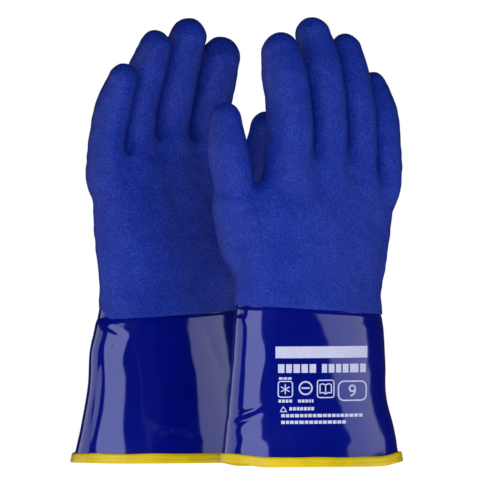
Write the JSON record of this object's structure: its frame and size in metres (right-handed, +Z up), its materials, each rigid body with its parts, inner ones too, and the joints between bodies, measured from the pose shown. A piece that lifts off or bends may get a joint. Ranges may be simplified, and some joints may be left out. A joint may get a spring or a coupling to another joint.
{
  "type": "cryogenic gloves",
  "caption": "Pair of cold-resistant gauntlet gloves with rough coated hands, smooth flared sleeves, knitted liners and bound hems, standing upright.",
  "frame": {"origin": "centre of the pair's bounding box on the floor plane that the hems rest on", "axes": "+Z up from the hems to the fingertips; -Y towards the viewer, where the rear glove shows its palm and the front glove its back; +X to the viewer's right"},
  "size_m": [0.223, 0.192, 0.2992],
  "materials": {
    "rough_coat": "matte sandy blue PVC",
    "smooth_gauntlet": "glossy blue PVC",
    "hem_binding": "glossy yellow",
    "hem_thread": "yellow thread",
    "liner": "light grey knit"
  },
  "bodies": {
    "rear_gauntlet_body": {"rear_gauntlet": "smooth_gauntlet", "rear_gauntlet_liner": "liner", "rear_hem_binding": "hem_binding", "rear_hem_thread": "hem_thread"},
    "rear_hand_body": {"rear_hand_coat": "rough_coat", "rear_hand_liner": "liner"},
    "rear_thumb_body": {"rear_thumb_coat": "rough_coat", "rear_thumb_liner": "liner"},
    "rear_index_body": {"rear_index_coat": "rough_coat", "rear_index_liner": "liner"},
    "rear_middle_body": {"rear_middle_coat": "rough_coat", "rear_middle_liner": "liner"},
    "rear_ring_body": {"rear_ring_coat": "rough_coat", "rear_ring_liner": "liner"},
    "rear_little_body": {"rear_little_coat": "rough_coat", "rear_little_liner": "liner"},
    "front_gauntlet_body": {"front_gauntlet": "smooth_gauntlet", "front_gauntlet_liner": "liner", "front_hem_binding": "hem_binding", "front_hem_thread": "hem_thread"},
    "front_hand_body": {"front_hand_coat": "rough_coat", "front_hand_liner": "liner"},
    "front_thumb_body": {"front_thumb_coat": "rough_coat", "front_thumb_liner": "liner"},
    "front_index_body": {"front_index_coat": "rough_coat", "front_index_liner": "liner"},
    "front_middle_body": {"front_middle_coat": "rough_coat", "front_middle_liner": "liner"},
    "front_ring_body": {"front_ring_coat": "rough_coat", "front_ring_liner": "liner"},
    "front_little_body": {"front_little_coat": "rough_coat", "front_little_liner": "liner"}
  },
  "joints": [
    {"name": "front_glove_apart", "type": "slide", "parent": "rear_gauntlet_body", "child": "front_gauntlet_body", "axis": [1, 0, 0], "range_m": [0, 0.15]},
    {"name": "rear_wrist_bend", "type": "hinge", "parent": "rear_gauntlet_body", "child": "rear_hand_body", "pos_m": [-0.0426, 0.056, 0.112], "axis": [0.8079, 0.587, -0.0523], "range_deg": [-20, 20], "stiffness_Nm_per_rad": 1.5},
    {"name": "rear_thumb_flex", "type": "hinge", "parent": "rear_hand_body", "child": "rear_thumb_body", "pos_m": [0.00867, 0.07657, 0.16927], "axis": [0.8079, 0.587, -0.0523], "range_deg": [0, 33], "stiffness_Nm_per_rad": 0.3},
    {"name": "rear_index_flex", "type": "hinge", "parent": "rear_hand_body", "child": "rear_index_body", "pos_m": [-0.0211, 0.07533, 0.21163], "axis": [0.8079, 0.587, -0.0523], "range_deg": [0, 38], "stiffness_Nm_per_rad": 0.3},
    {"name": "rear_middle_flex", "type": "hinge", "parent": "rear_hand_body", "child": "rear_middle_body", "pos_m": [-0.04455, 0.05953, 0.21512], "axis": [0.8079, 0.587, -0.0523], "range_deg": [0, 38], "stiffness_Nm_per_rad": 0.3},
    {"name": "rear_ring_flex", "type": "hinge", "parent": "rear_hand_body", "child": "rear_ring_body", "pos_m": [-0.06612, 0.04385, 0.21451], "axis": [0.8079, 0.587, -0.0523], "range_deg": [0, 38], "stiffness_Nm_per_rad": 0.3},
    {"name": "rear_little_flex", "type": "hinge", "parent": "rear_hand_body", "child": "rear_little_body", "pos_m": [-0.086, 0.02818, 0.20582], "axis": [0.8079, 0.587, -0.0523], "range_deg": [0, 38], "stiffness_Nm_per_rad": 0.3},
    {"name": "front_wrist_bend", "type": "hinge", "parent": "front_gauntlet_body", "child": "front_hand_body", "pos_m": [0.0472, -0.056, 0.112], "axis": [-0.8079, -0.587, 0.0523], "range_deg": [-20, 20], "stiffness_Nm_per_rad": 1.5},
    {"name": "front_thumb_flex", "type": "hinge", "parent": "front_hand_body", "child": "front_thumb_body", "pos_m": [0.00101, -0.07288, 0.17456], "axis": [-0.8079, -0.587, 0.0523], "range_deg": [0, 33], "stiffness_Nm_per_rad": 0.3},
    {"name": "front_index_flex", "type": "hinge", "parent": "front_hand_body", "child": "front_index_body", "pos_m": [0.03425, -0.06911, 0.21409], "axis": [-0.8079, -0.587, 0.0523], "range_deg": [0, 38], "stiffness_Nm_per_rad": 0.3},
    {"name": "front_middle_flex", "type": "hinge", "parent": "front_hand_body", "child": "front_middle_body", "pos_m": [0.05787, -0.05319, 0.2146], "axis": [-0.8079, -0.587, 0.0523], "range_deg": [0, 38], "stiffness_Nm_per_rad": 0.3},
    {"name": "front_ring_flex", "type": "hinge", "parent": "front_hand_body", "child": "front_ring_body", "pos_m": [0.07928, -0.03764, 0.21121], "axis": [-0.8079, -0.587, 0.0523], "range_deg": [0, 38], "stiffness_Nm_per_rad": 0.3},
    {"name": "front_little_flex", "type": "hinge", "parent": "front_hand_body", "child": "front_little_body", "pos_m": [0.0983, -0.02258, 0.19993], "axis": [-0.8079, -0.587, 0.0523], "range_deg": [0, 38], "stiffness_Nm_per_rad": 0.3}
  ]
}
